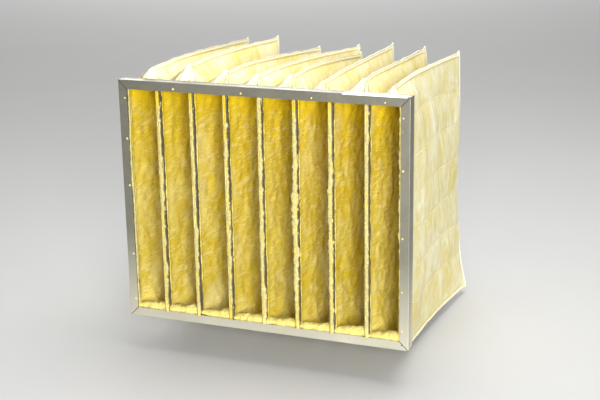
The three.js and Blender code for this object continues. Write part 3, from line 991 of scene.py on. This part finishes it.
def roll(centres, wide, deep, seed, level=False, steps=10, lumps=SIDE_LUMPS):
    """A soft roll of media, upright or level: an oval section with tufts, closed at its ends."""
    wide, deep = (np.broadcast_to(v, len(centres))[:, None, None] for v in (wide, deep))
    turn = np.linspace(0, 2 * math.pi, steps, endpoint=False)[None, :, None]
    across = np.array([0, 0, 1.0] if level else [1.0, 0, 0])
    offset = np.cos(turn) * across * wide + np.sin(turn) * np.array([0, 1.0, 0]) * deep
    oval = centres[:, None, :] + offset
    tufts = 1 + lumps * layered(oval, 0.007, 2, seed) + 0.16 * noise(oval, 0.02, seed + 2)
    points = centres[:, None, :] + offset * tufts[..., None]
    rows = len(centres)
    ends = [list(range(steps))[::-1], list(range((rows - 1) * steps, rows * steps))]
    faces = ring_faces(rows, steps, 0, level).tolist()
    faces.extend(end[::-1] if level else end for end in ends)
    return points.reshape(-1, 3), faces


def side_roll(place, widest, seed, back=ROLL_BACK, stretch=TOP_STRETCH, bulge=0):
    """The raw edges of two plies side by side, swelling out in front of their strips up the whole
    mouth, and lying a little further back near its top. Some bulge out to the left."""
    height = np.linspace(SIDE_FROM, SIDE_TO, SIDE_SECTIONS)
    near_top = share(height, MOUTH_TOP - stretch, MOUTH_TOP - TOP_FULL)
    line = spread(seed, 0, height)
    middle = np.sin(np.pi * (height - height[0]) / (height[-1] - height[0])) ** 0.8
    bulging = bulge * middle * (0.85 + 0.45 * layered(line, 0.09, 2, seed + 11))
    sway = 0.0007 * layered(line, 0.06, 3, seed) - bulging
    swell = widest * (1 + 0.26 * layered(line, 0.022, 3, seed + 5))
    swell = swell * mix(1, TOP_SHRINK, near_top)
    reach = SIDE_REACH + 0.0008 * layered(line, 0.04, 3, seed + 7)
    y = FACE_Y + back + TOP_SET_BACK * near_top + 0.0006 * noise(line, 0.03, seed + 9)
    return roll(spread(place + sway, y, height), swell + bulging, reach, seed)


def bottom_roll(pocket):
    """The raw lower edge of a mouth, swelling up behind the bottom rail's flange."""
    centre = CENTRES[pocket]
    seed = SEED + 80 + pocket
    x = np.linspace(centre - MOUTH_HALF + FOOT_GAP, centre + MOUTH_HALF - FOOT_GAP, FOOT_SECTIONS)
    line = spread(x, 0, 0)
    z = FLANGE_BOTTOM + FOOT_RISE + 0.0012 * noise(line, 0.035, seed)
    rising = share(x, centre - MOUTH_HALF, centre + 0.4 * MOUTH_HALF)
    tall = mix(FOOT_LOW, FOOT_HIGH, rising) + 0.0015 * layered(line, 0.022, 3, seed + 1)
    return roll(spread(x, FACE_Y + FOOT_BACK, z), tall, FOOT_REACH, seed, True, 16, FOOT_LUMPS)


def mouth_rolls(pocket):
    """The raw edges that show in front of a mouth: at its right boundary, at its foot, and for the
    first pocket at its left boundary too."""
    seed = SEED + 40 + 5 * pocket
    rolls = [bottom_roll(pocket)]
    if pocket < POCKETS - 1:
        edge = CENTRES[pocket] + MOUTH_HALF + PAST_PLY
        rolls.append(side_roll(edge, SIDE_HALF, seed, bulge=EDGE_BULGE[pocket]))
    else:
        edge = RIGHT_RAIL[0][0] - BEHIND_RIGHT
        rolls.append(side_roll(edge, RIGHT_HALF, seed, BEHIND_FLANGE))
    if pocket == 0:
        edge = LEFT_RAIL[1][0] + PAST_PLY
        rolls.append(side_roll(edge, LEFT_HALF, seed + 2, BEHIND_FLANGE, LEFT_TOP_STRETCH))
    return rolls


def lining_lips(pocket):
    """The lining swelling out just behind the two strips of a mouth, over their rear edges."""
    height = np.linspace(MOUTH_BOTTOM + MOUTH_PLY + LIP_GAP, MOUTH_TOP - MOUTH_PLY - LIP_GAP,
                         LIP_SECTIONS)
    lips = []
    for side, strip in zip((-1, 1), STRIPS[pocket]):
        seed = SEED + 200 + 3 * pocket + side
        line = spread(seed, 0, height)
        x = (strip[0][0] + strip[1][0]) / 2 + 0.0004 * layered(line, 0.05, 2, seed)
        y = STRIP_END + FACE_Y + LIP_BACK + 0.0008 * layered(line, 0.02, 2, seed + 1)
        wide = LIP_HALF + 0.0003 * layered(line, 0.03, 2, seed + 2)
        lips.append(roll(spread(x, y, height), wide, LIP_REACH, seed))
    return lips


def hole_places():
    """Where fibre pushes out through the pierced holes of the top and side flanges."""
    rows = [(CENTRES[k], HEADER_TOP - HOLE_FROM_EDGE) for k in range(1, POCKETS, 2)]
    rows += [(RIGHT_RAIL[1][0] - SIDE_HOLE_FROM_EDGE, z) for z in RIGHT_HOLES]
    rows += [(LEFT_RAIL[0][0] + SIDE_HOLE_FROM_EDGE, z) for z in LEFT_HOLES]
    return [(x, FACE_Y + TUFT_BACK, z) for x, z in rows]


def label_object(settings):
    """A blank paper label lying on the top rail's web, bent a little way over its front edge."""
    bend = 0.0016
    lift = 0.0001
    drop = 0.0002
    turn = np.linspace(0, math.pi / 2, 7)
    front = FACE_Y + bend - (bend + lift) * np.sin(turn[::-1])
    crest = HEADER_TOP - bend + (bend + lift) * np.cos(turn[::-1])
    y = np.concatenate([[FACE_Y - lift], front, [FACE_Y + settings.width]])
    z = np.concatenate([[HEADER_TOP - bend - drop], crest, [HEADER_TOP + lift]])
    dy, dz = np.gradient(y), np.gradient(z)
    size = np.hypot(dy, dz)
    out_y, out_z = -dz / size * settings.thickness, dy / size * settings.thickness
    stations = np.linspace(settings.start, settings.end, LABEL_SECTIONS)
    fray = 0.0002 * noise(spread(stations, 0, 0), 0.004, SEED + 61)
    rings = []
    for x, shift in zip(stations, fray):
        under = y + np.linspace(0, 1, len(y)) ** 4 * shift
        rings.append(np.concatenate([spread(x, under + out_y, z + out_z),
                                     spread(x, under, z)[::-1]]))
    count = 2 * len(y)
    faces = ring_faces(len(stations), count, 0, False).tolist()
    first = [[i, i + 1, count - 2 - i, count - 1 - i] for i in range(len(y) - 1)]
    base = (len(stations) - 1) * count
    last = [[base + i for i in face][::-1] for face in first]
    paper = plain_media_material("label_paper", (0.80, 0.80, 0.76), (0.90, 0.90, 0.87), 60)
    return new_object("blank_label", np.concatenate(rings), [*faces, *first, *last], [paper])


def set_floor(settings):
    """A wide plain floor under the pockets' lowest corner."""
    lowest = min(vertex.co.z for obj in bpy.data.objects
                 if obj.type == "MESH" and not obj.hide_render for vertex in obj.data.vertices)
    corners = [(x * FLOOR_REACH, y * FLOOR_REACH, lowest)
               for x, y in ((-1, -1), (1, -1), (1, 1), (-1, 1))]
    material, tree, shader = new_material("floor_plain", 0.9)
    pale = settings.floor_colour
    mottle = cloud(tree, object_coordinates(tree), 3, 3)
    fill(tree, shader, Base_Color=ramp(tree, mottle, (0.3, dimmed(pale, 0.98)), (0.7, pale)))
    floor = new_object("floor", corners, [(0, 1, 2, 3)], [material])


def area_light(name, place, size, power, spread_angle=math.pi):
    """A square light that faces the middle of the filter."""
    light = bpy.data.lights.new(name, "AREA")
    light.size = size
    light.energy = power
    light.spread = spread_angle
    obj = bpy.data.objects.new(name, light)
    obj.location = place
    aim = Vector(LIGHT_TARGET) - Vector(place)
    obj.rotation_euler = aim.to_track_quat("-Z", "Y").to_euler()
    bpy.context.scene.collection.objects.link(obj)


def set_lights(settings):
    """An even pale world, a key light by the camera and two lights over and behind the filter."""
    scene = bpy.context.scene
    scene.world = bpy.data.worlds.new("pale_world")
    scene.world.use_nodes = True
    fill(scene.world.node_tree, scene.world.node_tree.nodes["Background"], Color=(1, 1, 1, 1),
         Strength=settings.world_strength)
    area_light("key", (1.40, -2.80, 0.85), 1.4, settings.key_power, 1.4)
    area_light("above", (0.35, 0.4, 2.6), 1.8, settings.above_power)
    area_light("behind", (-3.3, 8.5, 3.0), 5.0, settings.behind_power)
    scene.view_settings.view_transform = "Standard"
    scene.view_settings.exposure = 0


def set_camera(settings):
    """The camera at the photograph's place, found by fitting the header and the pockets to it."""
    yaw, pitch, tilt = settings.camera_angles
    ahead = Vector((-math.sin(yaw) * math.cos(pitch), math.cos(yaw) * math.cos(pitch),
                    -math.sin(pitch)))
    right = Vector((math.cos(yaw), math.sin(yaw), 0))
    up = right.cross(ahead)
    turned_right = math.cos(tilt) * right + math.sin(tilt) * up
    turned_up = -math.sin(tilt) * right + math.cos(tilt) * up
    camera = bpy.data.cameras.new("photo_camera")
    camera.sensor_width = 36
    camera.lens = settings.lens
    camera.clip_end = 100
    obj = bpy.data.objects.new("photo_camera", camera)
    turn = Matrix((turned_right, turned_up, -ahead)).transposed()
    obj.matrix_world = Matrix.Translation(Vector(settings.camera_place)) @ turn.to_4x4()
    bpy.context.scene.collection.objects.link(obj)
    bpy.context.scene.camera = obj


# Settings shown in the sidebar

def colour_setting(name, description, default, top=1):
    """A colour."""
    return bpy.props.FloatVectorProperty(
        name=name, description=description, default=default, subtype="COLOR", min=0, max=top)


def length_setting(name, description, default, **limits):
    """A length in metres, with its limits."""
    return bpy.props.FloatProperty(
        name=name, description=description, default=default, unit="LENGTH", **limits)


def number_setting(name, description, default, low, high):
    """A number without a unit."""
    return bpy.props.FloatProperty(
        name=name, description=description, default=default, min=low, max=high)


class SteelSettings(bpy.types.PropertyGroup):
    """The zinc-coated steel"""
    rail_colour: colour_setting(
        "Rail Colour", "Zinc coat of the header rails", (0.255, 0.245, 0.195))
    inner_colour: colour_setting(
        "Inner Colour", "Steel of the retainer strips and packing channels", (0.27, 0.26, 0.19))
    roughness: number_setting("Roughness", "Mean roughness of the zinc coat", 0.42, 0.1, 0.9)


class PocketSettings(bpy.types.PropertyGroup):
    """The sewn pockets"""
    crown_sections: bpy.props.IntProperty(
        name="Crown Sections", description="Sections from the header to a pocket's crown",
        default=27, min=8, max=80)
    rear_sections: bpy.props.IntProperty(
        name="Rear Sections", description="Sections from the crown to the rear seam",
        default=50, min=16, max=160)
    scrim_yellow: colour_setting(
        "Scrim Yellow", "Fibre showing through the scrim", (0.67, 0.565, 0.195))
    scrim_cream: colour_setting(
        "Scrim Cream", "The scrim's own colour", (0.70, 0.63, 0.345))
    scrim_white: colour_setting(
        "Scrim White", "The scrim where it lies in folds", (0.75, 0.725, 0.55))
    seam_shade: colour_setting(
        "Seam Shade", "The sewn seam allowance in its hollows", (0.82, 0.775, 0.55))
    seam_light: colour_setting(
        "Seam Light", "The sewn seam allowance", (0.90, 0.87, 0.70))
    # Partly fibre pressed through the scrim, partly painted shade in the crease
    scrim_crease_and_shade: colour_setting(
        "Scrim Crease", "The scrim pulled in along the stitch rows", (0.58, 0.475, 0.165))
    # Painted light: how much brighter the crowns are painted, for light that shines through the
    # scrim
    scrim_crown_light: colour_setting(
        "Painted Crown Light", "How much brighter the scrim stays on the sheltered crowns",
        (1.30, 1.29, 1.24), 2)
    fibre_deep: colour_setting(
        "Fibre Deep", "Fibre in the hollows of the lining", (0.59, 0.415, 0.010))
    # Painted light: the richer upper lining stands for light shining through the roof
    fibre_rich_lit: colour_setting(
        "Fibre Rich", "Fibre in the upper part of the lining", (0.63, 0.455, 0.010))
    fibre_yellow: colour_setting(
        "Fibre Yellow", "Fibre in the lower part of the lining", (0.57, 0.435, 0.045))
    fibre_pale: colour_setting(
        "Fibre Pale", "Fibre standing up in tufts", (0.65, 0.535, 0.14))
    fibre_tip: colour_setting(
        "Fibre Tips", "Lining where single strands stand up into the light", (0.76, 0.66, 0.28))


class StitchSettings(bpy.types.PropertyGroup):
    """The stitches"""
    pitch: length_setting("Pitch", "From one stitch to the next", 0.0065, min=0.003, max=0.02)
    length: length_setting("Length", "Length of one stitch", 0.0046, min=0.002, max=0.02)
    thickness: length_setting(
        "Thickness", "Half the thread's width", 0.0005, min=0.0001, max=0.002)
    colour: colour_setting("Thread Colour", "The sewing thread", (0.86, 0.80, 0.58))


class EdgeSettings(bpy.types.PropertyGroup):
    """The raw edges of the mouths"""
    colour_low: colour_setting(
        "Edge Shade", "Raw media edge in its hollows", (0.37, 0.315, 0.11))
    colour_high: colour_setting(
        "Edge Light", "Raw media edge on its tufts", (0.53, 0.475, 0.22))
    foot_low: colour_setting(
        "Foot Shade", "Raw edge at the foot of a mouth, in its hollows", (0.49, 0.39, 0.075))
    foot_high: colour_setting(
        "Foot Light", "Raw edge at the foot of a mouth, on its tufts", (0.72, 0.62, 0.22))
    tuft_colour: colour_setting(
        "Tuft Colour", "Fibre pushed out through the flange's holes", (0.72, 0.59, 0.20))
    tuft_radius: length_setting(
        "Tuft Radius", "Size of a tuft in a hole", 0.0022, min=0.0005, max=0.01)
    fuzz_density: number_setting(
        "Fuzz Density", "Fuzz fibres to a square metre of raw edge", 17000, 0, 60000)
    fuzz_shortest: length_setting(
        "Shortest Fuzz", "Shortest fuzz fibre", 0.004, min=0.001, max=0.05)
    fuzz_longest: length_setting(
        "Longest Fuzz", "Longest fuzz fibre", 0.014, min=0.001, max=0.05)


class FibreSettings(bpy.types.PropertyGroup):
    """The loose fibres"""
    density: number_setting(
        "Density", "Loose fibres to a square metre of lining", 3600, 0, 30000)
    shortest: length_setting("Shortest", "Shortest loose fibre", 0.018, min=0.002, max=0.2)
    longest: length_setting("Longest", "Longest loose fibre", 0.046, min=0.002, max=0.2)
    reach: length_setting(
        "Reach", "How deep into a pocket fibres are made", 0.20, min=0.05, max=0.5)
    colour: colour_setting("Colour", "The loose fibres", (0.64, 0.535, 0.17))


class LabelSettings(bpy.types.PropertyGroup):
    """The label"""
    start: length_setting("Start", "The label's left end from the middle", 0.166)
    end: length_setting("End", "The label's right end from the middle", 0.290)
    width: length_setting("Width", "How far the label reaches over the top rail", 0.017)
    thickness: length_setting("Thickness", "The label's paper", 0.0002)


class StageSettings(bpy.types.PropertyGroup):
    """The stage"""
    floor_colour: colour_setting("Floor Colour", "The plain floor", (0.50, 0.50, 0.495))
    world_strength: number_setting(
        "World Strength", "Even light from all round", 0.36, 0, 5)
    key_power: number_setting("Key Power", "The large light beside the camera", 40, 0, 900)
    above_power: number_setting("Above Power", "The light over the pockets", 64, 0, 900)
    behind_power: number_setting(
        "Behind Power", "The far low light, which shines on the header's top", 330, 0, 900)
    camera_place: bpy.props.FloatVectorProperty(
        name="Camera", description="Where the camera stands",
        default=(0.90792, -2.13259, 0.95521), subtype="TRANSLATION", unit="LENGTH")
    camera_angles: bpy.props.FloatVectorProperty(
        name="Camera Angles", description="The camera's turn, pitch down and roll",
        default=(0.3720, 0.2885, -0.0161), unit="ROTATION")
    lens: number_setting("Lens", "Focal length in millimetres", 75.39, 10, 300)


# Operators

class BAGFILTER_OT_finish_steel(bpy.types.Operator):
    """Finish the header rails, the strips and the hidden steel with zinc"""
    bl_idname = "bag_filter.finish_steel"
    bl_label = "Finish Steel"

    def execute(self, context):
        settings = context.scene.bag_filter_steel
        rough = settings.roughness
        rails = galvanised_material("galvanised_rails", settings.rail_colour, rough, True)
        inner = galvanised_material("galvanised_inner", settings.inner_colour, rough + 0.06)
        for obj in list(bpy.data.objects):
            if obj.type != "MESH" or obj.name.startswith("pocket_"):
                continue
            finish = rails if obj.name.startswith("header_rail") else inner
            obj.data.materials.clear()
            obj.data.materials.append(finish)
        return {"FINISHED"}


class BAGFILTER_OT_sew_pockets(bpy.types.Operator):
    """Make the eight sewn fibre pockets in place of the frame's plain ones"""
    bl_idname = "bag_filter.sew_pockets"
    bl_label = "Sew Pockets"

    def execute(self, context):
        settings = context.scene.bag_filter_pockets
        seam = plain_media_material("media_seam", settings.seam_shade, settings.seam_light, 120)
        materials = [scrim_material(settings), fibre_material(settings), seam]
        for pocket in range(POCKETS):
            obj = pocket_mesh(pocket, materials, settings)
            dress(obj)
            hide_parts(f"pocket_{pocket + 1}")
            lips = dress(joined(f"lining_lips_{pocket + 1}", lining_lips(pocket),
                                materials[LINING]))
        return {"FINISHED"}


class BAGFILTER_OT_roll_edges(bpy.types.Operator):
    """Make the raw fluffy edges of the eight mouths and the tufts in the flanges' holes"""
    bl_idname = "bag_filter.roll_edges"
    bl_label = "Roll Raw Edges"

    def execute(self, context):
        settings = context.scene.bag_filter_edges
        edge = edge_material(settings)
        fuzz = fibre_tree(edge)
        for pocket in range(POCKETS):
            rolls = mouth_rolls(pocket)
            dress(joined(f"raw_edge_{pocket + 1}", rolls, edge))
            hairs = joined(f"edge_fuzz_{pocket + 1}", rolls, edge)
            dress(grown(hairs, fuzz, Density=settings.fuzz_density,
                        Shortest=settings.fuzz_shortest, Longest=settings.fuzz_longest,
                        Seed=SEED + pocket, **FUZZ_SHAPE))
        tufts = chain_object("hole_tufts", [[place] for place in hole_places()])
        yellow = plain_media_material("media_tuft", dimmed(settings.tuft_colour, 0.8),
                                      settings.tuft_colour, 600)
        dress(grown(tufts, tuft_tree(yellow), Radius=settings.tuft_radius, Seed=SEED))
        return {"FINISHED"}


class BAGFILTER_OT_stitch_pockets(bpy.types.Operator):
    """Lay the stitches along the quilting rows and the seams of each pocket"""
    bl_idname = "bag_filter.stitch_pockets"
    bl_label = "Stitch Pockets"

    def execute(self, context):
        settings = context.scene.bag_filter_stitches
        thread = plain_media_material("sewing_thread", dimmed(settings.colour, 0.8),
                                      settings.colour, 700)
        tree = stitch_tree(thread)
        for pocket in range(POCKETS):
            lines = chain_object(f"stitches_{pocket + 1}", stitch_lines(pocket))
            dress(grown(lines, tree, Pitch=settings.pitch, Length=settings.length,
                        Thickness=settings.thickness))
        return {"FINISHED"}


class BAGFILTER_OT_scatter_fibres(bpy.types.Operator):
    """Scatter loose fibres over the lining near each mouth"""
    bl_idname = "bag_filter.scatter_fibres"
    bl_label = "Scatter Fibres"

    def execute(self, context):
        settings = context.scene.bag_filter_fibres
        fibre = plain_media_material("loose_fibre", dimmed(settings.colour, 0.86),
                                     settings.colour, 90)
        tree = fibre_tree(fibre)
        for pocket in range(POCKETS):
            lining = lining_patch(pocket, settings.reach)
            dress(grown(lining, tree, Density=settings.density, Shortest=settings.shortest,
                        Longest=settings.longest, Seed=SEED + pocket, **LOOSE_SHAPE))
        return {"FINISHED"}


class BAGFILTER_OT_apply_label(bpy.types.Operator):
    """Stick the blank paper label to the top rail"""
    bl_idname = "bag_filter.apply_label"
    bl_label = "Apply Label"

    def execute(self, context):
        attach(label_object(context.scene.bag_filter_label), BODY)
        return {"FINISHED"}


class BAGFILTER_OT_set_stage(bpy.types.Operator):
    """Set the floor, the lights and the camera"""
    bl_idname = "bag_filter.set_stage"
    bl_label = "Set Stage"

    def execute(self, context):
        settings = context.scene.bag_filter_stage
        set_floor(settings)
        set_lights(settings)
        set_camera(settings)
        return {"FINISHED"}


# Each step in its order: the operator's name and class, and the name and class of its settings
STEPS = (
    ("finish_steel", BAGFILTER_OT_finish_steel, "bag_filter_steel", SteelSettings),
    ("sew_pockets", BAGFILTER_OT_sew_pockets, "bag_filter_pockets", PocketSettings),
    ("roll_edges", BAGFILTER_OT_roll_edges, "bag_filter_edges", EdgeSettings),
    ("stitch_pockets", BAGFILTER_OT_stitch_pockets, "bag_filter_stitches", StitchSettings),
    ("scatter_fibres", BAGFILTER_OT_scatter_fibres, "bag_filter_fibres", FibreSettings),
    ("apply_label", BAGFILTER_OT_apply_label, "bag_filter_label", LabelSettings),
    ("set_stage", BAGFILTER_OT_set_stage, "bag_filter_stage", StageSettings),
)


class BAGFILTER_PT_sidebar(bpy.types.Panel):
    """The bag filter's steps, each with its settings"""
    bl_idname = "BAGFILTER_PT_sidebar"
    bl_label = "Bag Filter"
    bl_space_type = "VIEW_3D"
    bl_region_type = "UI"
    bl_category = "Bag Filter"

    def draw(self, context):
        for step, _, group, _ in STEPS:
            box = self.layout.box()
            box.operator(f"bag_filter.{step}")
            settings = getattr(context.scene, group)
            for name in settings.bl_rna.properties.keys():
                if name not in ("rna_type", "name"):
                    box.prop(settings, name)


def register():
    """Registers the settings, the operators and the panel."""
    for _, operator, group, settings in STEPS:
        bpy.utils.register_class(settings)
        setattr(bpy.types.Scene, group, bpy.props.PointerProperty(type=settings))
        bpy.utils.register_class(operator)
    bpy.utils.register_class(BAGFILTER_PT_sidebar)


def unregister():
    """Takes back what register has done, in reverse."""
    bpy.utils.unregister_class(BAGFILTER_PT_sidebar)
    for _, operator, group, settings in reversed(STEPS):
        bpy.utils.unregister_class(operator)
        delattr(bpy.types.Scene, group)
        bpy.utils.unregister_class(settings)


def main():
    """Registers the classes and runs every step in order."""
    register()
    for step, *_ in STEPS:
        getattr(bpy.ops.bag_filter, step)()
    bpy.context.view_layer.update()


if __name__ == "__main__":
    main()
